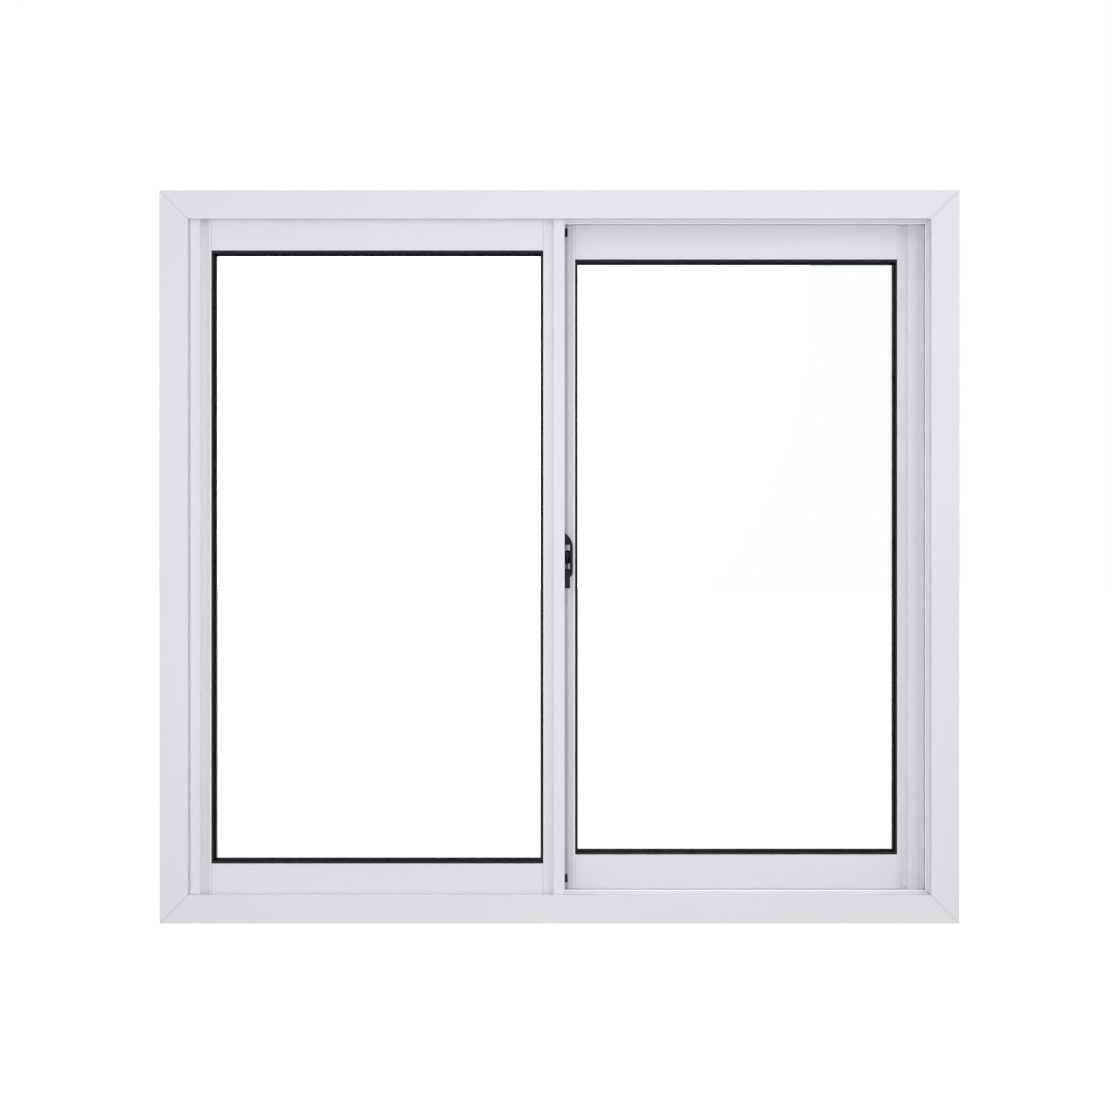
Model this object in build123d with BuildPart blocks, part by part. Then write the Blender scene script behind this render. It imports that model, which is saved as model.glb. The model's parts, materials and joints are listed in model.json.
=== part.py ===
# Two-leaf sliding window in white coated aluminium, seen from the room at -Y.
# X runs along the sill from its middle, Y runs from the room to the outside with zero
# midway between the two tracks, and Z is height above the underside of the sill.
import os

from build123d import *

os.makedirs("parts", exist_ok=True)

# Whole window
overall_width = 1200
overall_height = 1100
casing_face = 42
casing_overhang = 18
track_pitch = 32

# Frame profile, with heights measured from the outer edge of the frame
frame_wall = 1.5
lip_height = casing_face - casing_overhang
seat_height = 11
fin_thickness = 1.6
bead_radius = 1.5

# Inside casing
casing_wall = 1.6
casing_depth = 5.1
casing_mitre_gap = 0.4
clip_inset = 0.5
leaf_setback = 5.5

# Leaf profiles, with half thicknesses measured from the middle plane of the leaf
leaf_wall = 1.4
raised_half = 13
groove_half = 10
groove_foot_half = 3.6
lip_half = 11
flange_half = 10.5
pocket_half = 4.2
side_band = 15.2
meeting_band = 16.6
groove_width = 12.5
lip_width = 3.2
glazing_depth = 12.3
flange_reach = 11
leaf_overlap = 15.6
edge_gap = 1
rail_height = 44.6
rail_engagement = 9
rail_joint = 0.4
fin_clearance = 2
notch_half = 4

# Interlock strip that hooks the two meeting stiles together, and the pile strip beside it
hook_reach = 4.9
hook_length = 9
hook_tongue = 1
pile_slot_start = 2.6
pile_slot_width = 2.8
pile_pocket_width = 5.6
pile_length = 7.1
pad_height = 12
pad_thickness = 2
pad_top_inset = 11
pad_foot_inset = 16

# Glass and its seal
glass_thickness = 4
glass_bite = 8.7
seal_bite = 10.8
seal_side_show = 4.2
seal_rail_show = 5.6
seal_half = 10.8
seal_groove_half = 8.8
seal_groove_width = 0.9
seal_back_show = 0.8
seal_back_half = 6.4
seal_round = 1.5
seal_mitre_gap = 0.2

# Rollers in the bottom rail and guides in the top rail
groove_radius = 8
wheel_radius = 10.2
wheel_half = 3.6
wheel_rim = 0.8
wheel_groove_half = 1.7
axle_radius = 1.5
running_gap = 0.3
housing_length = 46
housing_slot = 23
housing_cheek = 4.4
roller_inset = 60
top_web = 34
foot_web = 22.6
guide_length = 30
guide_height = 16
guide_slot_half = 2.4
guide_inset = 22

# Latch on the edge of the front leaf, with heights from the middle of the window
latch_depth = 14
latch_top = 36.6
latch_bend_top = 14
latch_bend_foot = -22.5
latch_foot = -30.5
latch_reach = 12.2
latch_rim = 3.8
latch_plate = 0.8
latch_shelf = 18.7
slider_half = 9.8
slider_foot = -47.3
rod_start = 3
rod_width = 2
nose_half = 3.5
nose_start = 1.6
nose_width = 3.8
nose_length = 14
hook_notch_half = 6
keeper_gap = 1
keeper_wall = 1.8
keeper_length = 6.4
keeper_half = 8.5
keeper_base = 1.4

# Fixing and drainage
fixing_radius = 3
fixing_inset = 180
weep_length = 28
weep_height = 5
weep_pitch = 380

# Places worked out from the sizes above
frame_width = overall_width - 2 * casing_overhang
frame_height = overall_height - 2 * casing_overhang
half_width = frame_width / 2
middle_z = frame_height / 2
front_track = -track_pitch / 2
face_front = front_track - raised_half - leaf_setback
leg_front = face_front + casing_wall
leg_back = leg_front + frame_wall
frame_front = face_front + casing_depth
frame_back = -leg_front
leaf_edge = half_width - lip_height - edge_gap
meet_edge = leaf_overlap / 2
opening_left = -leaf_edge + side_band + groove_width + lip_width
opening_right = meet_edge - meeting_band - groove_width - lip_width
opening_width = opening_right - opening_left
opening_x = (opening_left + opening_right) / 2
opening_top = frame_height - lip_height - rail_height
opening_foot = lip_height + rail_height
opening_height = opening_top - opening_foot
leaf_top = opening_top + rail_height + rail_engagement
leaf_foot = opening_foot - rail_height - rail_engagement
leaf_height = leaf_top - leaf_foot
channel_half = lip_half - leaf_wall
stile_inside = raised_half - leaf_wall
hook_front = front_track + stile_inside
seal_mitre_length = 3 * (seal_rail_show + seal_bite)


def strip(x0, y0, x1, y1, mode=Mode.ADD):
    """A rectangle of the open sketch between two opposite corners."""
    with Locations(((x0 + x1) / 2, (y0 + y1) / 2)):
        Rectangle(abs(x1 - x0), abs(y1 - y0), mode=mode)


def both_sides(x0, y0, x1, y1):
    """A rectangle and its twin across the middle plane of the leaf."""
    strip(x0, y0, x1, y1)
    strip(x0, -y1, x1, -y0)


def block(x0, y0, z0, x1, y1, z1, mode=Mode.ADD):
    """A box of the open part between two opposite corners."""
    with Locations(((x0 + x1) / 2, (y0 + y1) / 2, (z0 + z1) / 2)):
        Box(abs(x1 - x0), abs(y1 - y0), abs(z1 - z0), mode=mode)


def frame_section():
    """Web, stepped inner leg, two guide fins with round beads, and the outer leg."""
    step_back = frame_front + frame_wall
    strip(frame_front, 0, frame_back, frame_wall)
    strip(frame_front, 0, step_back, seat_height + frame_wall)
    strip(leg_front, seat_height, step_back, seat_height + frame_wall)
    strip(leg_front, seat_height, leg_back, lip_height - frame_wall)
    strip(frame_back - frame_wall, 0, frame_back, lip_height)
    bead_height = lip_height - bead_radius
    for track in (front_track, -front_track):
        strip(track - fin_thickness / 2, 0, track + fin_thickness / 2, bead_height)
        with Locations((track, bead_height)):
            Circle(bead_radius)


def casing_section():
    """Flat trim that wraps the tip of the inner leg, with a clip and an edge return."""
    strip(face_front, -casing_overhang, leg_front, lip_height)
    strip(face_front, -casing_overhang, frame_front, -casing_overhang + casing_wall)
    strip(face_front, lip_height - frame_wall, leg_back, lip_height)
    strip(face_front, seat_height - casing_wall, frame_front - clip_inset, seat_height)


def stile_faces(band):
    """The faces, sloping grooves, glazing lips and inner web that both stiles share."""
    groove_end = band + groove_width
    mouth = groove_end + lip_width
    both_sides(0, stile_inside, band, raised_half)
    both_sides(band - leaf_wall, groove_foot_half - leaf_wall, band, raised_half)
    for side in (1, -1):
        Polygon(
            (band, side * groove_foot_half),
            (groove_end, side * groove_half),
            (groove_end, side * (groove_half - leaf_wall)),
            (band, side * (groove_foot_half - leaf_wall)),
            align=None,
        )
    both_sides(groove_end, groove_half - leaf_wall, mouth, lip_half)
    both_sides(mouth - leaf_wall, pocket_half, mouth, lip_half)
    web = mouth - glazing_depth
    strip(web - leaf_wall, -groove_foot_half, web, groove_foot_half)


def side_stile_section():
    """Stile with set-back flanges that straddle the fin of the jamb."""
    stile_faces(side_band)
    web = fin_clearance + leaf_wall
    both_sides(-flange_reach, flange_half - leaf_wall, web, flange_half)
    both_sides(0, flange_half - leaf_wall, leaf_wall, raised_half)
    strip(fin_clearance, -flange_half, web, flange_half)


def meeting_stile_section():
    """Closed stile whose back corner is open for the interlock and the pile strip."""
    stile_faces(meeting_band)
    floor = stile_inside - leaf_wall
    slot_end = pile_slot_start + pile_slot_width
    pocket_end = leaf_wall + pile_pocket_width
    strip(0, stile_inside, slot_end, raised_half, Mode.SUBTRACT)
    strip(0, -raised_half, leaf_wall, stile_inside)
    strip(0, floor - leaf_wall, pocket_end + leaf_wall, floor)
    strip(pocket_end, floor - leaf_wall, pocket_end + leaf_wall, raised_half)


def interlock_section():
    """Hook that closes the back corner of the stile, held by a tongue behind its wall."""
    strip(-hook_reach, stile_inside, pile_slot_start, raised_half)
    strip(-hook_reach, stile_inside, -hook_reach + leaf_wall, stile_inside + hook_length)
    strip(leaf_wall, stile_inside - leaf_wall, leaf_wall + hook_tongue, stile_inside)


def pile_section():
    """Pile strip: a flat base in its pocket and a brush that reaches the other leaf."""
    pocket_end = leaf_wall + pile_pocket_width
    strip(leaf_wall + hook_tongue, stile_inside - leaf_wall, pocket_end, stile_inside)
    slot_end = pile_slot_start + pile_slot_width
    strip(pile_slot_start, stile_inside, slot_end, stile_inside + pile_length)


def rail_section(web):
    """Rail with a glazing channel on one side and a channel over the fin on the other."""
    reach = rail_height + rail_engagement
    both = ((-lip_half, -channel_half, -pocket_half), (lip_half, channel_half, pocket_half))
    for outside, inside, bead in both:
        strip(outside, 0, inside, reach)
        strip(outside, 0, bead, leaf_wall)
    strip(-channel_half, glazing_depth, channel_half, glazing_depth + leaf_wall)
    strip(-channel_half, web, channel_half, web + leaf_wall)


def cut_joints():
    """Sets the faces of a rail back from both stiles, so that each joint shows as a line."""
    for joint in (opening_left, opening_right - rail_joint):
        for side in (-1, 1):
            block(
                joint, front_track + side * channel_half, 0,
                joint + rail_joint, front_track + side * lip_half, frame_height, Mode.SUBTRACT,
            )


def save(piece, name):
    """Writes one piece of the window under its own name."""
    piece.part.label = name
    export_step(piece.part, f"parts/{name}.step")


def save_turned(piece, name):
    """Writes a piece of the front leaf turned half a circle into the back leaf."""
    with BuildPart() as turned:
        with Locations(Location((0, 0, 0), (0, 0, 180))):
            add(piece.part)
    save(turned, name)


# Frame members and casing, cut at 45 degrees along the planes through the four corners
foot_left = Vector(-half_width, 0, 0)
foot_right = Vector(half_width, 0, 0)
top_left = Vector(-half_width, 0, frame_height)
top_right = Vector(half_width, 0, frame_height)
sides = {
    "sill": (foot_left, foot_right, Vector(0, 0, 1)),
    "jamb_right": (foot_right, top_right, Vector(-1, 0, 0)),
    "head": (top_right, top_left, Vector(0, 0, -1)),
    "jamb_left": (top_left, foot_left, Vector(1, 0, 0)),
}


def mitred_bar(section, start, end, inward, overhang, gap):
    """Extrudes a section between two corners of the frame and mitres both ends."""
    run = Vector(0, 1, 0).cross(inward)
    if (end - start).dot(run) < 0:
        start, end = end, start
    origin = start - run * overhang
    with BuildSketch(Plane(origin=origin, x_dir=(0, 1, 0), z_dir=run)) as profile:
        section()
    extrude(profile.sketch, amount=(end - start).length + 2 * overhang)
    for place, along in ((start, run), (end, -run)):
        normal = (along - inward).normalized()
        split(bisect_by=Plane(origin=place + normal * gap / 2, z_dir=normal), keep=Keep.TOP)


for side, (start, end, inward) in sides.items():
    with BuildPart() as member:
        mitred_bar(frame_section, start, end, inward, 0, 0)
        if side in ("jamb_left", "jamb_right"):
            web_plane = Plane(origin=(start.X, 0, middle_z), x_dir=(0, 0, 1), z_dir=inward)
            with BuildSketch(web_plane):
                with GridLocations(frame_height - 2 * fixing_inset, 1, 2, 1):
                    Circle(fixing_radius)
            extrude(amount=frame_wall, mode=Mode.SUBTRACT)
        if side == "sill":
            weep_z = frame_wall + weep_height / 2
            with BuildSketch(Plane(origin=(0, 0, weep_z), x_dir=(1, 0, 0), z_dir=(0, 1, 0))):
                with GridLocations(weep_pitch, 1, 3, 1):
                    SlotOverall(weep_length, weep_height)
            extrude(amount=frame_back, mode=Mode.SUBTRACT)
    save(member, f"frame_{side}")
    with BuildPart() as trim:
        mitred_bar(casing_section, start, end, inward, casing_overhang, casing_mitre_gap)
    save(trim, f"casing_{side}")

# Stiles of the front leaf, notched at both ends for the fins of the head and the sill
notch_depth = rail_engagement + fin_clearance
with BuildPart() as side_stile:
    with BuildSketch(Plane(origin=(-leaf_edge, front_track, leaf_foot))):
        side_stile_section()
    extrude(amount=leaf_height)
    for end_z in (leaf_foot, leaf_top):
        block(
            -leaf_edge - flange_reach, front_track - notch_half, end_z - notch_depth,
            opening_left, front_track + notch_half, end_z + notch_depth, Mode.SUBTRACT,
        )
save(side_stile, "left_side_stile")
save_turned(side_stile, "right_side_stile")

meeting_plane = Plane(
    origin=(meet_edge, front_track, leaf_top), x_dir=(-1, 0, 0), z_dir=(0, 0, -1)
)
with BuildPart() as meeting_stile:
    with BuildSketch(meeting_plane):
        meeting_stile_section()
    extrude(amount=leaf_height)
    for end_z in (leaf_foot, leaf_top):
        block(
            opening_right, front_track - notch_half, end_z - notch_depth,
            meet_edge, front_track + notch_half, end_z + notch_depth, Mode.SUBTRACT,
        )
save(meeting_stile, "left_meeting_stile")
save_turned(meeting_stile, "right_meeting_stile")

# The front leaf's interlock is cut away where the nose of the latch passes
with BuildPart() as interlock:
    with BuildSketch(meeting_plane):
        interlock_section()
    extrude(amount=leaf_height)
save_turned(interlock, "right_interlock")

with BuildPart() as notched_interlock:
    add(interlock.part)
    block(
        meet_edge, hook_front, middle_z - hook_notch_half,
        meet_edge + hook_reach, hook_front + hook_length, middle_z + hook_notch_half,
        Mode.SUBTRACT,
    )
save(notched_interlock, "left_interlock")

with BuildPart() as pile_strip:
    with BuildSketch(meeting_plane):
        pile_section()
    extrude(amount=leaf_height)
save(pile_strip, "left_pile_strip")
save_turned(pile_strip, "right_pile_strip")

# Rails between the stiles
with BuildPart() as top_rail:
    top_plane = Plane(
        origin=(opening_left, front_track, opening_top), x_dir=(0, 1, 0), z_dir=(1, 0, 0)
    )
    with BuildSketch(top_plane):
        rail_section(top_web)
    extrude(amount=opening_width)
    cut_joints()
save(top_rail, "left_top_rail")
save_turned(top_rail, "right_top_rail")

with BuildPart() as bottom_rail:
    foot_plane = Plane(
        origin=(opening_right, front_track, opening_foot), x_dir=(0, 1, 0), z_dir=(-1, 0, 0)
    )
    with BuildSketch(foot_plane):
        rail_section(foot_web)
    extrude(amount=opening_width)
    cut_joints()
save(bottom_rail, "left_bottom_rail")
save_turned(bottom_rail, "right_bottom_rail")

# Glass in four mitred strips of seal that wrap its edge, broad on the room side of both leaves,
# where a groove parts the seal from the lips around it
pane_plane = Plane(origin=(opening_x, front_track, middle_z), x_dir=(1, 0, 0), z_dir=(0, -1, 0))
with BuildPart() as glass_pane:
    with BuildSketch(pane_plane):
        Rectangle(opening_width + 2 * glass_bite, opening_height + 2 * glass_bite)
    extrude(amount=glass_thickness / 2, both=True)
save(glass_pane, "left_glass_pane")
save_turned(glass_pane, "right_glass_pane")

seal_steps = (
    (0, seal_side_show, seal_rail_show, seal_groove_half),
    (seal_groove_width, seal_side_show, seal_rail_show, seal_half),
    (0, seal_back_show, seal_back_show, -seal_back_half),
)
leaves = {"left": (opening_x, front_track), "right": (-opening_x, -front_track)}
for leaf, (centre_x, track) in leaves.items():
    seal_plane = Plane(origin=(centre_x, track, middle_z), x_dir=(1, 0, 0), z_dir=(0, -1, 0))
    with BuildPart() as seal:
        for outer, side_show, rail_show, reach in seal_steps:
            with BuildSketch(seal_plane):
                Rectangle(opening_width - 2 * outer, opening_height - 2 * outer)
                Rectangle(
                    opening_width - 2 * side_show, opening_height - 2 * rail_show,
                    mode=Mode.SUBTRACT,
                )
            extrude(amount=reach)
        inner = seal.edges().filter_by(
            lambda edge: abs(edge.center().X - centre_x) < opening_width / 2 - seal_side_show / 2
            and abs(edge.center().Z - middle_z) < opening_height / 2 - seal_rail_show / 2
            and abs(edge.center().Y - track + seal_half) < seal_round
        )
        fillet(inner, seal_round)
        with BuildSketch(seal_plane):
            Rectangle(opening_width + 2 * seal_bite, opening_height + 2 * seal_bite)
            Rectangle(opening_width, opening_height, mode=Mode.SUBTRACT)
        extrude(amount=pocket_half, both=True)
        with BuildSketch(seal_plane):
            Rectangle(opening_width + 2 * glass_bite, opening_height + 2 * glass_bite)
        extrude(amount=glass_thickness / 2, both=True, mode=Mode.SUBTRACT)
        with BuildSketch(seal_plane):
            for side_x in (-1, 1):
                for side_z in (-1, 1):
                    mitre_x = side_x * (opening_width / 2 - seal_side_show)
                    mitre_z = side_z * (opening_height / 2 - seal_rail_show)
                    with Locations(Location((mitre_x, mitre_z), side_x * side_z * 45)):
                        Rectangle(seal_mitre_length, seal_mitre_gap)
        extrude(amount=seal_half, both=True, mode=Mode.SUBTRACT)
    save(seal, f"{leaf}_glazing_seal")

# Two grooved rollers under each leaf, in housings that fill the channel of the rail
axle_z = lip_height + running_gap + groove_radius
ceiling = opening_foot - foot_web - leaf_wall
roller_places = (opening_left + roller_inset, opening_right - roller_inset)
with BuildPart() as rollers:
    for place in roller_places:
        wheel_plane = Plane(origin=(place, front_track, axle_z), x_dir=(0, 1, 0), z_dir=(1, 0, 0))
        with BuildSketch(wheel_plane):
            with BuildLine():
                Polyline(
                    (-wheel_half, axle_radius + running_gap),
                    (-wheel_half, wheel_radius),
                    (-wheel_half + wheel_rim, wheel_radius),
                    (-wheel_groove_half, groove_radius),
                    (wheel_groove_half, groove_radius),
                    (wheel_half - wheel_rim, wheel_radius),
                    (wheel_half, wheel_radius),
                    (wheel_half, axle_radius + running_gap),
                    close=True,
                )
            make_face()
        revolve(axis=Axis((place, front_track, axle_z), (0, 1, 0)))
save(rollers, "left_rollers")
save_turned(rollers, "right_rollers")

with BuildPart() as housings:
    for place in roller_places:
        half = housing_length / 2
        block(
            place - half, front_track - channel_half, lip_height + bead_radius,
            place + half, front_track + channel_half, ceiling,
        )
        slot = housing_slot / 2
        slot_y = channel_half - housing_cheek
        block(
            place - slot, front_track - slot_y, lip_height,
            place + slot, front_track + slot_y, ceiling, Mode.SUBTRACT,
        )
        with Locations((place, front_track, axle_z)):
            Cylinder(axle_radius, 2 * channel_half, rotation=(90, 0, 0))
save(housings, "left_roller_housings")
save_turned(housings, "right_roller_housings")

# Guide blocks in the top rail, slotted over the fin of the head
guide_foot = opening_top + top_web + leaf_wall
with BuildPart() as guides:
    for place in (opening_left + guide_inset, opening_right - guide_inset):
        half = guide_length / 2
        block(
            place - half, front_track - channel_half, guide_foot,
            place + half, front_track + channel_half, guide_foot + guide_height,
        )
        block(
            place - half, front_track - guide_slot_half,
            frame_height - lip_height - fin_clearance,
            place + half, front_track + guide_slot_half, leaf_top, Mode.SUBTRACT,
        )
save(guides, "left_top_guides")
save_turned(guides, "right_top_guides")

# Pads at both ends of each hook
with BuildPart() as pads:
    for top in (leaf_top - pad_top_inset, leaf_foot + pad_foot_inset + pad_height):
        block(
            meet_edge, hook_front - pad_thickness, top - pad_height,
            meet_edge + hook_reach, hook_front, top,
        )
save(pads, "left_hook_pads")
save_turned(pads, "right_hook_pads")

# Latch: a bow that frames a sliding block with its rod, trigger and nose
latch_back = front_track + latch_depth / 2
latch_plane = Plane(origin=(meet_edge, latch_back, middle_z), x_dir=(1, 0, 0), z_dir=(0, -1, 0))
rim_inside = latch_reach - latch_rim
with BuildPart() as latch_bow:
    with BuildSketch(latch_plane):
        with BuildLine():
            Polyline((latch_reach, latch_bend_foot), (latch_reach, latch_bend_top))
            TangentArc((latch_reach, latch_bend_top), (0, latch_top), tangent=(0, 1))
            Polyline((0, latch_top), (0, latch_foot), (rim_inside, latch_foot))
            TangentArc((latch_reach, latch_bend_foot), (rim_inside, latch_foot), tangent=(0, -1))
        make_face()
        strip(latch_plate, latch_foot, rim_inside, latch_shelf, Mode.SUBTRACT)
        strip(0, slider_foot, latch_plate, latch_foot)
    extrude(amount=latch_depth)
save(latch_bow, "latch_bow")

slider_end = rim_inside - running_gap
with BuildPart() as latch_slider:
    with BuildSketch(latch_plane):
        strip(latch_plate, -slider_half, slider_end, slider_half)
        strip(rod_start, -latch_shelf, rod_start + rod_width, -slider_half)
        strip(latch_plate, slider_foot, slider_end, -latch_shelf)
    extrude(amount=latch_depth)
    nose_x = meet_edge + nose_start
    block(
        nose_x, latch_back, middle_z - nose_half,
        nose_x + nose_width, latch_back + nose_length, middle_z + nose_half,
    )
save(latch_slider, "latch_slider")

# Keeper on the sloping groove of the back leaf, beside the nose
keeper_x = nose_x + nose_width + keeper_gap
keeper_end = keeper_x + keeper_length
groove_slope = (groove_half - groove_foot_half) / groove_width


def groove_face(x):
    """Y of the room side of the back meeting stile's groove."""
    return -front_track - groove_foot_half - (x + meet_edge - meeting_band) * groove_slope


keeper_face = groove_face(keeper_end) - keeper_base
with BuildPart() as latch_keeper:
    with BuildSketch(Plane(origin=(0, 0, middle_z))):
        Polygon(
            (keeper_x, keeper_face),
            (keeper_end, keeper_face),
            (keeper_end, groove_face(keeper_end)),
            (keeper_x, groove_face(keeper_x)),
            align=None,
        )
    extrude(amount=keeper_half, both=True)
    block(
        keeper_x, latch_back + nose_length / 2, middle_z - nose_half,
        keeper_x + keeper_wall, keeper_face, middle_z + nose_half,
    )
save(latch_keeper, "latch_keeper")
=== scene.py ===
import json
import math

import bmesh
import bpy
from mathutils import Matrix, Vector


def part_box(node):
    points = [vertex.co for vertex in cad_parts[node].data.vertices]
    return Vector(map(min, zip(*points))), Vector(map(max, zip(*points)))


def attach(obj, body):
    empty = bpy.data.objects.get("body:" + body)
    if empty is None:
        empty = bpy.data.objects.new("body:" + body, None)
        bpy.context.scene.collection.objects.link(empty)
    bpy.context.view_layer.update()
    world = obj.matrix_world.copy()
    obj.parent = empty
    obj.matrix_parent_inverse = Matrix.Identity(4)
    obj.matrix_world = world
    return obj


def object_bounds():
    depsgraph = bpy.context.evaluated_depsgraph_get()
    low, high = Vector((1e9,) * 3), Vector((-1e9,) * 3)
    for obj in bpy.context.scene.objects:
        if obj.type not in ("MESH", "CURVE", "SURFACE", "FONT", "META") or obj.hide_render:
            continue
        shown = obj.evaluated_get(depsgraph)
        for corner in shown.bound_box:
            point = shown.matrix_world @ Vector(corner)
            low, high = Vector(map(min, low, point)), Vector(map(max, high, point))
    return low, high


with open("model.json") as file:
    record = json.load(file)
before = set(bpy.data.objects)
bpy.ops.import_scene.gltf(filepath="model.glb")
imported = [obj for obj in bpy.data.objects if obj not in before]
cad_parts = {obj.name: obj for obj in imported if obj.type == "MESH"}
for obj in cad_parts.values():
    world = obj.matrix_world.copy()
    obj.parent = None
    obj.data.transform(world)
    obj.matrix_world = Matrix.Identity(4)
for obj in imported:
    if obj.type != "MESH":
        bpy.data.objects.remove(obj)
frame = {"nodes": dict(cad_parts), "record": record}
cad_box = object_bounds()
nodes = frame["nodes"]
mm = 0.001

# Camera, in metres: the photograph is taken square on from about a metre, a little left of the
# middle. The scale is that of the face of the trim.
image_pixels = 1112
millimetres_per_pixel = 1.5
camera_distance = 1.046
camera_left = 0.00525
camera_above = 0.0015
sensor_width = 36.0

# Floor and light. A sun has a direction, a level and an angle in degrees, and a softbox has a
# place, a width, a height and a power. The ring light by the camera keeps its strength over
# distance, so that deep recesses are lit evenly.
floor_drop = 0.9
floor_size = 60.0
floor_white = 0.4
floor_glow = 0.86
sky_strength = 0.25
suns = {
    "overhead": (Vector((0.15, -0.1, 1.0)), 0.3, 60),
    "left": (Vector((-1.0, -0.5, 0.2)), 0.05, 40),
    "right": (Vector((1.0, -0.5, 0.3)), 0.05, 40),
    "back": (Vector((-0.2, 1.0, 0.3)), 0.4, 60),
}
sun_distance = 3.0
softboxes = {
    "high_softbox": (Vector((0.5, -1.3, 1.7)), 1.6, 1.0, 3.0),
    "left_softbox": (Vector((-0.95, -1.25, 0.7)), 0.3, 1.4, 1.7),
    "right_softbox": (Vector((0.95, -1.25, 1.0)), 0.3, 1.4, 2.2),
}
ring_place = Vector((0.0, -1.1, 0.535))
ring_power = 17.2
ring_radius = 0.12

# Places in the window that no node's box gives. A groove has its edge and the way it opens on X.
front_track = -16 * mm
fin_faces = (-16.8 * mm, 15.2 * mm)
frame_edge = 581.8 * mm
frame_foot, frame_top = 0.2 * mm, 1063.8 * mm
fin_mitre_reach = 21.5 * mm
groove_edges = ((-541.8 * mm, 1), (-8.8 * mm, -1))
rail_ends = (-525.9 * mm, -24.7 * mm)
meeting_line = 7.8 * mm
middle_height = 532 * mm

# Grey strips of painted shade in the hairline joints of the white profiles
gap_shade_width = 0.36 * mm
gap_shade_sink = 0.1 * mm
gap_shade_depth = 1.0 * mm
casing_corner_inset = 0.3 * mm
fin_gap_shade_width = 0.8 * mm
rail_gap_shade_depth = 1.4 * mm

# Dark plugs of painted shade in the stiles' corners, and fillets in the feet of their grooves
plug_radius = 1.5 * mm
plug_corners = 12
plug_start, plug_end = 5.2 * mm, 9 * mm
plug_overhang = 0.3 * mm
fillet_inside, fillet_outside = 3.5 * mm, 4.3 * mm
fillet_reach = 1.3 * mm
fillet_length = 11.5 * mm

# Latch slider, from the meeting stile's edge and the window's middle height
plate_front = -23.3 * mm
tab_front = -24.4 * mm
tab_top = 5.6 * mm
tab_foot = -9.6 * mm
tab_top_ends = (1.4 * mm, 7.6 * mm)
tab_foot_ends = (3.1 * mm, 5.1 * mm)
tab_slope = 0.5 * mm
plate_half = 9.8 * mm
# Size of the painted highlights on the tab's top edge and the pads
highlight_width = 0.45 * mm
highlight_half_depth = 0.05 * mm

# Lines of painted highlight on the lower hook pads
pad_height = 12 * mm
pad_line_below_top = 1.6 * mm
pad_line_width = 0.6 * mm

# Materials: the mix node's inputs for a factor and two colours, and the rays of a rounded edge
mix_factor, mix_first, mix_second = 0, 6, 7
edge_samples = 6


def new_material(name):
    """An empty node material and its shader."""
    material = bpy.data.materials.new(name)
    material.use_nodes = True
    return material, material.node_tree.nodes["Principled BSDF"]


def add_node(material, kind, **inputs):
    """A node of the material with the given input values."""
    node = material.node_tree.nodes.new(kind)
    for name, value in inputs.items():
        node.inputs[name.replace("_", " ")].default_value = value
    return node


def join(material, output, target):
    material.node_tree.links.new(output, target)


def coordinates(material):
    return material.node_tree.nodes.new("ShaderNodeTexCoord").outputs["Object"]


def noise(material, scale, detail=2.0, roughness=0.5):
    """Noise in object space, whose scale is in waves per metre."""
    node = add_node(material, "ShaderNodeTexNoise", Scale=scale, Detail=detail, Roughness=roughness)
    join(material, coordinates(material), node.inputs["Vector"])
    return node.outputs["Fac"]


def ramp(material, source, low, high, start=0.3, end=0.7):
    """A colour ramp between two colours over part of the source's range."""
    node = material.node_tree.nodes.new("ShaderNodeValToRGB")
    first, last = node.color_ramp.elements
    first.position, last.position = start, end
    first.color, last.color = (*low, 1.0), (*high, 1.0)
    join(material, source, node.inputs["Fac"])
    return node.outputs["Color"]


def spread(material, source, low, high):
    """Maps a source from 0 to 1 onto a range of numbers."""
    node = material.node_tree.nodes.new("ShaderNodeMapRange")
    node.inputs["To Min"].default_value = low
    node.inputs["To Max"].default_value = high
    join(material, source, node.inputs["Value"])
    return node.outputs["Result"]


def rounded_edges(material, radius):
    node = add_node(material, "ShaderNodeBevel", Radius=radius)
    node.samples = edge_samples
    return node.outputs["Normal"]


def bump(material, height, distance, strength, normal):
    node = add_node(material, "ShaderNodeBump", Strength=strength, Distance=distance)
    join(material, height, node.inputs["Height"])
    join(material, normal, node.inputs["Normal"])
    return node.outputs["Normal"]


def blend(material, factor, low, high):
    """Mixes a plain colour into the colour of a socket by a factor from 0 to 1."""
    node = material.node_tree.nodes.new("ShaderNodeMix")
    node.data_type = "RGBA"
    node.inputs[mix_first].default_value = (*low, 1.0)
    join(material, factor, node.inputs[mix_factor])
    join(material, high, node.inputs[mix_second])
    return next(output for output in node.outputs if output.type == "RGBA")


def faces_squarely(material, normal, start, end):
    """1 on faces that look at the room or the outside, and 0 on flanks and at rounded edges, where the
    black materials paint shade.
    """
    parts = material.node_tree.nodes.new("ShaderNodeSeparateXYZ")
    join(material, normal, parts.inputs[0])
    facing = material.node_tree.nodes.new("ShaderNodeMath")
    facing.operation = "ABSOLUTE"
    join(material, parts.outputs["Y"], facing.inputs[0])
    level = material.node_tree.nodes.new("ShaderNodeMapRange")
    level.inputs["From Min"].default_value = start
    level.inputs["From Max"].default_value = end
    join(material, facing.outputs[0], level.inputs["Value"])
    return level.outputs["Result"]


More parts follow.
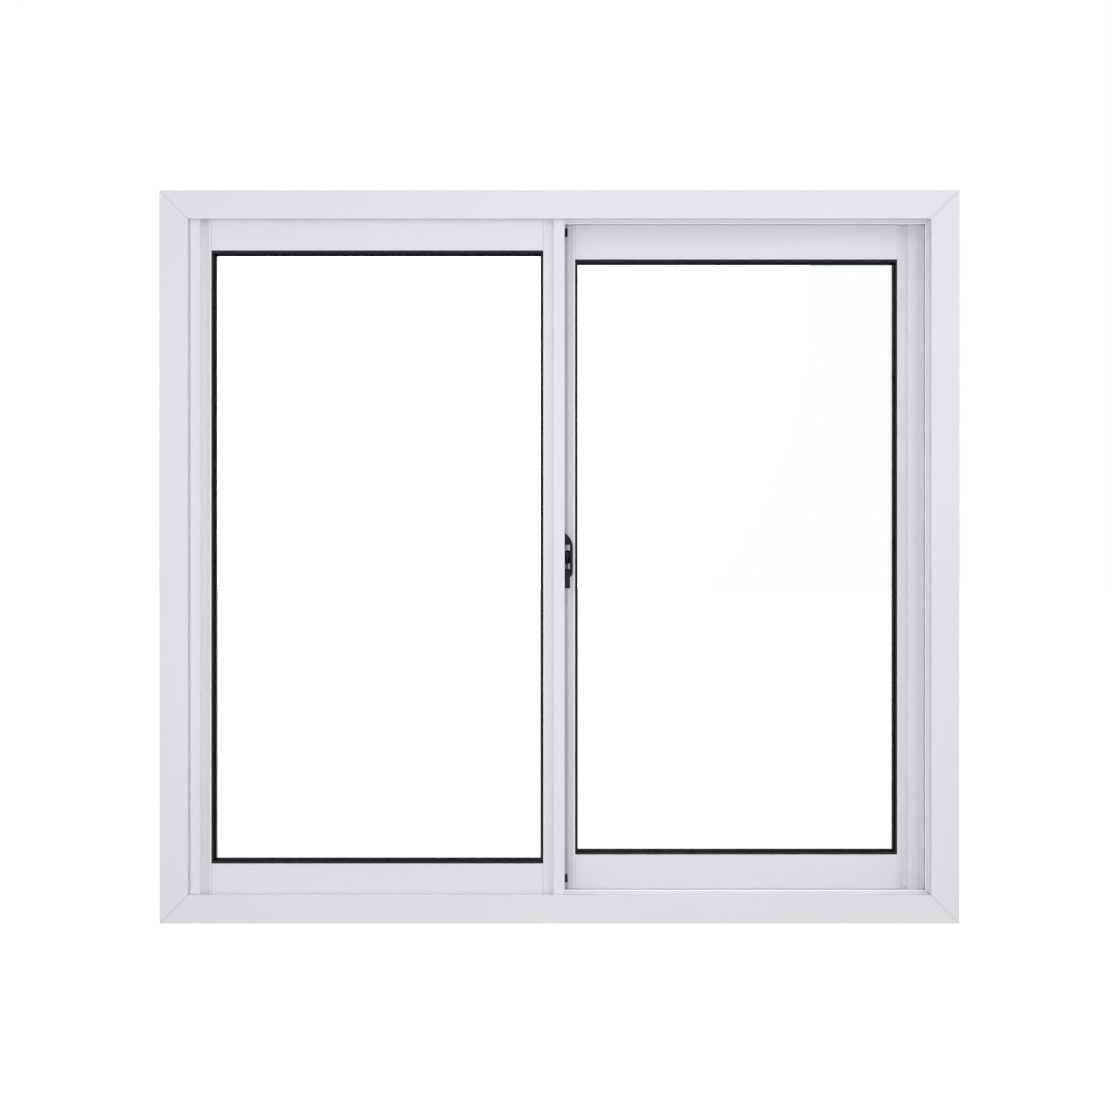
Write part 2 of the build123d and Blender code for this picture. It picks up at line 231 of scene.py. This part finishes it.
def white_coating(name, low, high):
    """Baked polyester powder: a faint orange peel, soft edges and a barely cool white."""
    material, shader = new_material(name)
    colour = ramp(material, noise(material, 3.0, 3.0), low, high)
    join(material, colour, shader.inputs["Base Color"])
    gloss = spread(material, noise(material, 14.0, 4.0), 0.36, 0.46)
    join(material, gloss, shader.inputs["Roughness"])
    peel = noise(material, 620.0, 2.5, 0.55)
    join(
        material,
        bump(material, peel, 0.02 * mm, 0.35, rounded_edges(material, 0.4 * mm)),
        shader.inputs["Normal"],
    )
    shader.inputs["Specular IOR Level"].default_value = 0.42
    return material


def black_seal():
    """Extruded black vinyl: dull grey faces, with painted shade that turns the flanks and rounded edges
    near black.
    """
    material, shader = new_material("black_glazing_vinyl")
    soft = rounded_edges(material, 0.6 * mm)
    ridge = ramp(material, noise(material, 40.0, 4.0), (0.025, 0.025, 0.029), (0.034, 0.034, 0.039))
    unshaded_mask = faces_squarely(material, rounded_edges(material, 1.4 * mm), 0.8, 0.99)
    # Painted shade: flanks and rounded edges near black, faces keep the vinyl's dark grey
    join(material, blend(material, unshaded_mask, (0.001, 0.001, 0.002), ridge), shader.inputs["Base Color"])
    join(material, spread(material, noise(material, 90.0), 0.42, 0.6), shader.inputs["Roughness"])
    shader.inputs["Specular IOR Level"].default_value = 0.02
    grain = noise(material, 2400.0, 3.0)
    join(material, bump(material, grain, 0.02 * mm, 0.2, soft), shader.inputs["Normal"])
    return material


def black_plastic():
    """Moulded nylon with a fine spark-eroded texture: dull dark grey faces, with painted shade that turns
    the flanks and rounded edges near black.
    """
    material, shader = new_material("black_moulded_nylon")
    soft = rounded_edges(material, 0.6 * mm)
    nylon_face = ramp(material, noise(material, 60.0, 4.0), (0.020, 0.020, 0.023), (0.028, 0.028, 0.032))
    unshaded_mask = faces_squarely(material, rounded_edges(material, 2.0 * mm), 0.86, 0.995)
    # Painted shade: flanks and rounded edges near black, faces keep the nylon's dark grey
    join(material, blend(material, unshaded_mask, (0.001, 0.001, 0.002), nylon_face), shader.inputs["Base Color"])
    join(material, spread(material, noise(material, 150.0), 0.38, 0.55), shader.inputs["Roughness"])
    shader.inputs["Specular IOR Level"].default_value = 0.04
    grain = noise(material, 3500.0, 2.0)
    join(material, bump(material, grain, 0.05 * mm, 0.5, soft), shader.inputs["Normal"])
    return material


def painted_shade_nylon():
    """Black nylon darkened further with painted shade, for the sunk part of the slider."""
    material, shader = new_material("nylon_painted_shade")
    colour = ramp(material, noise(material, 200.0), (0.002, 0.002, 0.002), (0.005, 0.005, 0.006))
    join(material, colour, shader.inputs["Base Color"])
    join(material, spread(material, noise(material, 400.0), 0.6, 0.8), shader.inputs["Roughness"])
    shader.inputs["Specular IOR Level"].default_value = 0.05
    return material


def painted_highlight_nylon():
    """Pale grey nylon that paints highlights on edges of the black nylon."""
    material, shader = new_material("nylon_painted_highlight")
    colour = ramp(material, noise(material, 900.0, 3.0), (0.07, 0.07, 0.075), (0.16, 0.16, 0.17))
    join(material, colour, shader.inputs["Base Color"])
    join(material, spread(material, noise(material, 400.0), 0.35, 0.5), shader.inputs["Roughness"])
    return material


def painted_gap_shade():
    """Grey that paints the shade of the hairline joints of the white profiles and of the stiles' open
    corners.
    """
    material, shader = new_material("painted_gap_shade")
    colour = ramp(material, noise(material, 300.0, 3.0), (0.33, 0.33, 0.34), (0.43, 0.43, 0.44))
    join(material, colour, shader.inputs["Base Color"])
    join(material, spread(material, noise(material, 700.0), 0.5, 0.75), shader.inputs["Roughness"])
    join(material, rounded_edges(material, 0.1 * mm), shader.inputs["Normal"])
    return material


def grey_plastic():
    """Extruded grey vinyl of the interlock, finely drawn along its length."""
    material, shader = new_material("grey_extruded_vinyl")
    colour = ramp(material, noise(material, 25.0, 3.0), (0.39, 0.385, 0.41), (0.43, 0.425, 0.45))
    join(material, colour, shader.inputs["Base Color"])
    join(material, spread(material, noise(material, 200.0), 0.45, 0.6), shader.inputs["Roughness"])
    grain = noise(material, 1800.0, 3.0)
    join(
        material,
        bump(material, grain, 0.03 * mm, 0.4, rounded_edges(material, 0.4 * mm)),
        shader.inputs["Normal"],
    )
    return material


def clear_glass():
    """Clear float glass."""
    material, shader = new_material("clear_float_glass")
    shader.inputs["Base Color"].default_value = (0.985, 1.0, 0.992, 1.0)
    shader.inputs["Roughness"].default_value = 0.0
    shader.inputs["IOR"].default_value = 1.5
    shader.inputs["Transmission Weight"].default_value = 1.0
    return material


def roller_nylon():
    """Natural nylon, slightly worn in the groove."""
    material, shader = new_material("natural_nylon")
    colour = ramp(material, noise(material, 120.0, 4.0), (0.66, 0.64, 0.58), (0.76, 0.75, 0.70))
    join(material, colour, shader.inputs["Base Color"])
    join(material, spread(material, noise(material, 300.0), 0.35, 0.55), shader.inputs["Roughness"])
    join(material, rounded_edges(material, 0.4 * mm), shader.inputs["Normal"])
    return material


def grey_pile():
    """Woven pile: short upright fibres seen as fine streaks."""
    material, shader = new_material("grey_brush_pile")
    fibres = noise(material, 2600.0, 3.0)
    colour = ramp(material, fibres, (0.16, 0.16, 0.17), (0.36, 0.36, 0.37), 0.35, 0.65)
    join(material, colour, shader.inputs["Base Color"])
    shader.inputs["Roughness"].default_value = 0.95
    join(
        material,
        bump(material, fibres, 0.4 * mm, 0.8, rounded_edges(material, 0.5 * mm)),
        shader.inputs["Normal"],
    )
    return material


def keeper_steel():
    """Zinc-plated steel with a fine brushed grain."""
    material, shader = new_material("plated_steel")
    colour = ramp(material, noise(material, 200.0, 5.0), (0.50, 0.50, 0.51), (0.62, 0.62, 0.63))
    join(material, colour, shader.inputs["Base Color"])
    shader.inputs["Metallic"].default_value = 1.0
    join(material, spread(material, noise(material, 500.0), 0.28, 0.42), shader.inputs["Roughness"])
    join(material, rounded_edges(material, 0.3 * mm), shader.inputs["Normal"])
    return material


def finish_nodes():
    """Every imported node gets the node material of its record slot."""
    finishes = {
        "white_coating": white_coating(
            "white_powder_coating", (0.80, 0.797, 0.829), (0.82, 0.817, 0.846)
        ),
        "black_seal": black_seal(),
        "clear_glass": clear_glass(),
        "black_plastic": black_plastic(),
        "grey_plastic": grey_plastic(),
        "roller_nylon": roller_nylon(),
        "grey_pile": grey_pile(),
        "keeper_steel": keeper_steel(),
    }
    # The frame's pieces sit deep in the recesses and get a lighter white than the leaves and the casing:
    # painted light that brightens the recesses
    frame_white_painted_light = white_coating("fresh_powder_coating", (0.88, 0.877, 0.90), (0.90, 0.897, 0.92))
    for part in frame["record"]["subparts"]:
        piece = nodes[part["node"]]
        finish = finishes[part["material_slot"]]
        if part["node"].startswith("frame_"):
            finish = frame_white_painted_light
        for place in piece.material_slots:
            place.material = finish
        if part["material_slot"] == "clear_glass":
            piece.visible_shadow = False
    return finishes


def skin(mesh, first, last):
    """Adds a closed solid between two outlines that have the same number of corners."""
    near = [mesh.verts.new(corner) for corner in first]
    far = [mesh.verts.new(corner) for corner in last]
    mesh.faces.new(near)
    mesh.faces.new(list(reversed(far)))
    for i in range(len(near)):
        j = (i + 1) % len(near)
        mesh.faces.new((near[i], near[j], far[j], far[i]))


def bar(mesh, start, end, width, front, back):
    """A straight bar between two points of the X and Z plane, from one depth to another."""
    start, end = Vector(start), Vector(end)
    side = (end - start).orthogonal().normalized() * width / 2
    corners = (start - side, start + side, end + side, end - side)
    outlines = [[Vector((x, depth, z)) for x, z in corners] for depth in (front, back)]
    skin(mesh, *outlines)


def finish_piece(name, mesh, material, edge=0.0):
    """Turns a mesh into a piece of the window that rides on its frame."""
    bmesh.ops.recalc_face_normals(mesh, faces=mesh.faces)
    data = bpy.data.meshes.new(name)
    mesh.to_mesh(data)
    mesh.free()
    data.materials.append(material)
    piece = bpy.data.objects.new(name, data)
    bpy.context.scene.collection.objects.link(piece)
    if edge:
        rounding = piece.modifiers.new("rounding", "BEVEL")
        rounding.width = edge
        rounding.segments = 3
    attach(piece, "root")
    return piece


def casing_mitres():
    """Grey strips of painted shade in the four mitre gaps of the casing, just behind its face."""
    mesh = bmesh.new()
    low, high = cad_box
    inner_edge = -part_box("casing_jamb_left")[1].x
    ends = (
        (high.z - casing_corner_inset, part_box("casing_head")[0].z),
        (low.z + casing_corner_inset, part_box("casing_sill")[1].z),
    )
    front = low.y + gap_shade_sink
    for side in (-1, 1):
        for outer, inner in ends:
            start = (side * (high.x - casing_corner_inset), outer)
            bar(mesh, start, (side * inner_edge, inner), gap_shade_width, front, front + gap_shade_depth)
    finish_piece("casing_mitre_shade", mesh, painted_gap_shade())


def frame_mitres():
    """Grey lines of painted shade where the fins of the frame's tracks meet in the corners."""
    mesh = bmesh.new()
    for side in (-1, 1):
        for height, way in ((frame_top, -1), (frame_foot, 1)):
            start = (side * frame_edge, height)
            end = (side * (frame_edge - fin_mitre_reach), height + way * fin_mitre_reach)
            for depth in fin_faces:
                for face in (depth, -depth):
                    front, back = face - gap_shade_sink, face + gap_shade_sink
                    bar(mesh, start, end, fin_gap_shade_width, front, back)
    finish_piece("frame_mitre_shade", mesh, painted_gap_shade())


def rail_joints():
    """Grey strips of painted shade between the rails and the stiles, on both faces of both leaves."""
    mesh = bmesh.new()
    for rail in ("top_rail", "bottom_rail"):
        low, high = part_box("left_" + rail)
        for x in rail_ends:
            for turn in (1, -1):
                start, end = (turn * x, low.z), (turn * x, high.z)
                front = turn * (low.y + gap_shade_sink)
                back = turn * (high.y - gap_shade_sink)
                bar(mesh, start, end, gap_shade_width, front, front + turn * rail_gap_shade_depth)
                bar(mesh, start, end, gap_shade_width, back, back - turn * rail_gap_shade_depth)
    finish_piece("rail_joint_shade", mesh, painted_gap_shade())


def corner_shade_plugs():
    """Round dark plugs at the outer corners of the side stiles, which paint the shade where the corners
    open.
    """
    mesh = bmesh.new()
    low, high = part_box("left_side_stile")
    for height in (low.z - plug_overhang, high.z + plug_overhang):
        for turn in (-1, 1):
            rings = []
            for depth in (plug_start, plug_end):
                ring = []
                for i in range(plug_corners):
                    angle = math.tau * i / plug_corners
                    x = low.x + plug_radius * math.cos(angle)
                    z = height + plug_radius * math.sin(angle)
                    ring.append(Vector((turn * x, -turn * depth, z)))
                rings.append(ring)
            skin(mesh, *rings)
    finish_piece("corner_shade_plugs", mesh, painted_gap_shade(), 0.3 * mm)


def groove_fillets():
    """White fillets at the stile ends, where the grooves meet the notches for the fins."""
    mesh = bmesh.new()
    low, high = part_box("left_side_stile")
    spans = ((low.z, low.z + fillet_length), (high.z - fillet_length, high.z))
    for edge, way in groove_edges:
        for side in (-1, 1):
            inside = front_track + side * fillet_inside
            outside = front_track + side * fillet_outside
            corners = ((edge, inside), (edge, outside), (edge + way * fillet_reach, outside))
            for span in spans:
                for turn in (1, -1):
                    rings = [[Vector((turn * x, turn * y, z)) for x, y in corners] for z in span]
                    skin(mesh, *rings)
    finish_piece("stile_end_fillets", mesh, finishes["white_coating"])


def slider_shade_sheet():
    """Near-black sheet of painted shade on the sunk face of the latch slider, behind the thumb tab."""
    mesh = bmesh.new()
    low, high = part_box("latch_slider")
    middle = (low.x + high.x) / 2
    start, end = (middle, middle_height - plate_half), (middle, middle_height + plate_half)
    bar(mesh, start, end, high.x - low.x, plate_front, low.y)
    finish_piece("slider_shade_sheet", mesh, painted_shade_nylon(), 0.1 * mm)


def thumb_tab():
    """Tab on the slider that narrows downwards."""
    mesh = bmesh.new()
    rings = []
    for depth, inset in ((plate_front, 0.0), (tab_front, tab_slope)):
        corners = (
            (tab_top_ends[0] + inset, tab_top),
            (tab_top_ends[1] - inset, tab_top),
            (tab_foot_ends[1] - inset, tab_foot),
            (tab_foot_ends[0] + inset, tab_foot),
        )
        rings.append([Vector((meeting_line + x, depth, middle_height + z)) for x, z in corners])
    skin(mesh, *rings)
    finish_piece("thumb_tab", mesh, finishes["black_plastic"], 0.2 * mm)


def thumb_tab_highlight():
    """Painted highlight along the top edge of the thumb tab."""
    mesh = bmesh.new()
    height = middle_height + tab_top - highlight_width / 2
    start = (meeting_line + tab_top_ends[0] + tab_slope, height)
    end = (meeting_line + tab_top_ends[1] - tab_slope, height)
    bar(mesh, start, end, highlight_width, tab_front - highlight_half_depth, tab_front + highlight_half_depth)
    finish_piece("thumb_tab_highlight", mesh, painted_highlight_nylon())


def pad_highlight_lines():
    """Lines of painted highlight near the tops of the lower hook pads."""
    mesh = bmesh.new()
    low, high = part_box("left_hook_pads")
    height = low.z + pad_height - pad_line_below_top
    for turn in (1, -1):
        front = turn * (low.y - highlight_half_depth)
        start, end = (turn * low.x, height), (turn * high.x, height)
        bar(mesh, start, end, pad_line_width, front, front + turn * 2 * highlight_half_depth)
    finish_piece("hook_pad_highlight", mesh, painted_highlight_nylon())


def seen_directly(tree):
    """1 for camera, mirror and glass rays, and 0 for the rays that light surfaces."""
    path = tree.nodes.new("ShaderNodeLightPath")
    first = tree.nodes.new("ShaderNodeMath")
    first.operation = "MAXIMUM"
    tree.links.new(path.outputs["Is Camera Ray"], first.inputs[0])
    tree.links.new(path.outputs["Is Glossy Ray"], first.inputs[1])
    second = tree.nodes.new("ShaderNodeMath")
    second.operation = "MAXIMUM"
    tree.links.new(first.outputs[0], second.inputs[0])
    tree.links.new(path.outputs["Is Transmission Ray"], second.inputs[1])
    return second.outputs[0]


def white_surroundings():
    """World that lights softly and is seen as plain white."""
    world = bpy.data.worlds.new("studio")
    bpy.context.scene.world = world
    world.use_nodes = True
    tree = world.node_tree
    background = tree.nodes["Background"]
    background.inputs["Color"].default_value = (1.0, 1.0, 1.0, 1.0)
    level = tree.nodes.new("ShaderNodeMapRange")
    level.inputs["To Min"].default_value = sky_strength
    level.inputs["To Max"].default_value = 1.0
    tree.links.new(seen_directly(tree), level.inputs["Value"])
    tree.links.new(level.outputs["Result"], background.inputs["Strength"])


def pale_floor():
    """Plain floor below the window, seen as white apart from soft shadow."""
    lowest = cad_box[0].z - floor_drop
    mesh = bpy.data.meshes.new("floor")
    half = floor_size / 2
    corners = [(-half, -half, lowest), (half, -half, lowest), (half, half, lowest), (-half, half, lowest)]
    mesh.from_pydata(corners, [], [(0, 1, 2, 3)])
    floor = bpy.data.objects.new("floor", mesh)
    bpy.context.scene.collection.objects.link(floor)
    material, shader = new_material("pale_floor")
    shader.inputs["Base Color"].default_value = (floor_white, floor_white, floor_white, 1.0)
    shader.inputs["Roughness"].default_value = 0.9
    shader.inputs["Specular IOR Level"].default_value = 0.0
    shader.inputs["Emission Color"].default_value = (1.0, 1.0, 1.0, 1.0)
    glow = material.node_tree.nodes.new("ShaderNodeMath")
    glow.operation = "MULTIPLY"
    glow.inputs[1].default_value = floor_glow
    join(material, seen_directly(material.node_tree), glow.inputs[0])
    join(material, glow.outputs[0], shader.inputs["Emission Strength"])
    mesh.materials.append(material)


def place_lamp(name, light, place):
    """A lamp that stands at a place and shines back at the foot of the window."""
    lamp = bpy.data.objects.new(name, light)
    lamp.location = place
    lamp.rotation_euler = place.to_track_quat("Z", "Y").to_euler()
    bpy.context.scene.collection.objects.link(lamp)
    return lamp


def keep_unseen(lamp):
    """Hides a lamp from the camera, from mirrors and through glass."""
    lamp.visible_camera = False
    lamp.visible_transmission = False
    lamp.visible_glossy = False


def sun_lamps():
    """Soft suns from above, from both sides and from behind."""
    for name, (direction, level, angle) in suns.items():
        light = bpy.data.lights.new(name, "SUN")
        light.energy = level * math.pi
        light.angle = math.radians(angle)
        place_lamp(name, light, direction * sun_distance)


def softbox_lamps():
    """Softboxes behind the camera that face the window squarely."""
    for name, (place, width, height, power) in softboxes.items():
        light = bpy.data.lights.new(name, "AREA")
        light.shape = "RECTANGLE"
        light.energy = power
        light.size = width
        light.size_y = height
        softbox = place_lamp(name, light, place)
        softbox.rotation_euler = (math.pi / 2, 0.0, 0.0)
        keep_unseen(softbox)


def ring_lamp():
    """Small light by the camera whose strength doesn't fall with distance."""
    light = bpy.data.lights.new("ring_light", "POINT")
    light.energy = ring_power
    light.shadow_soft_size = ring_radius
    light.use_nodes = True
    tree = light.node_tree
    falloff = tree.nodes.new("ShaderNodeLightFalloff")
    falloff.inputs["Strength"].default_value = 1.0
    tree.links.new(falloff.outputs["Constant"], tree.nodes["Emission"].inputs["Strength"])
    keep_unseen(place_lamp("ring_light", light, ring_place))


def photo_camera():
    """Square-on camera whose frame spans the photograph's pixels at the face of the trim."""
    centre = (cad_box[0] + cad_box[1]) / 2
    data = bpy.data.cameras.new("photo_camera")
    data.sensor_width = sensor_width
    span = image_pixels * millimetres_per_pixel / 1000
    data.lens = sensor_width * camera_distance / span
    camera = bpy.data.objects.new("photo_camera", data)
    camera.location = (-camera_left, cad_box[0].y - camera_distance, centre.z + camera_above)
    camera.rotation_euler = (math.pi / 2, 0.0, 0.0)
    bpy.context.scene.collection.objects.link(camera)
    bpy.context.scene.camera = camera


finishes = finish_nodes()
casing_mitres()
frame_mitres()
rail_joints()
corner_shade_plugs()
groove_fillets()
slider_shade_sheet()
thumb_tab()
thumb_tab_highlight()
pad_highlight_lines()
white_surroundings()
pale_floor()
sun_lamps()
softbox_lamps()
ring_lamp()
photo_camera()
bpy.context.scene.view_settings.view_transform = "Standard"
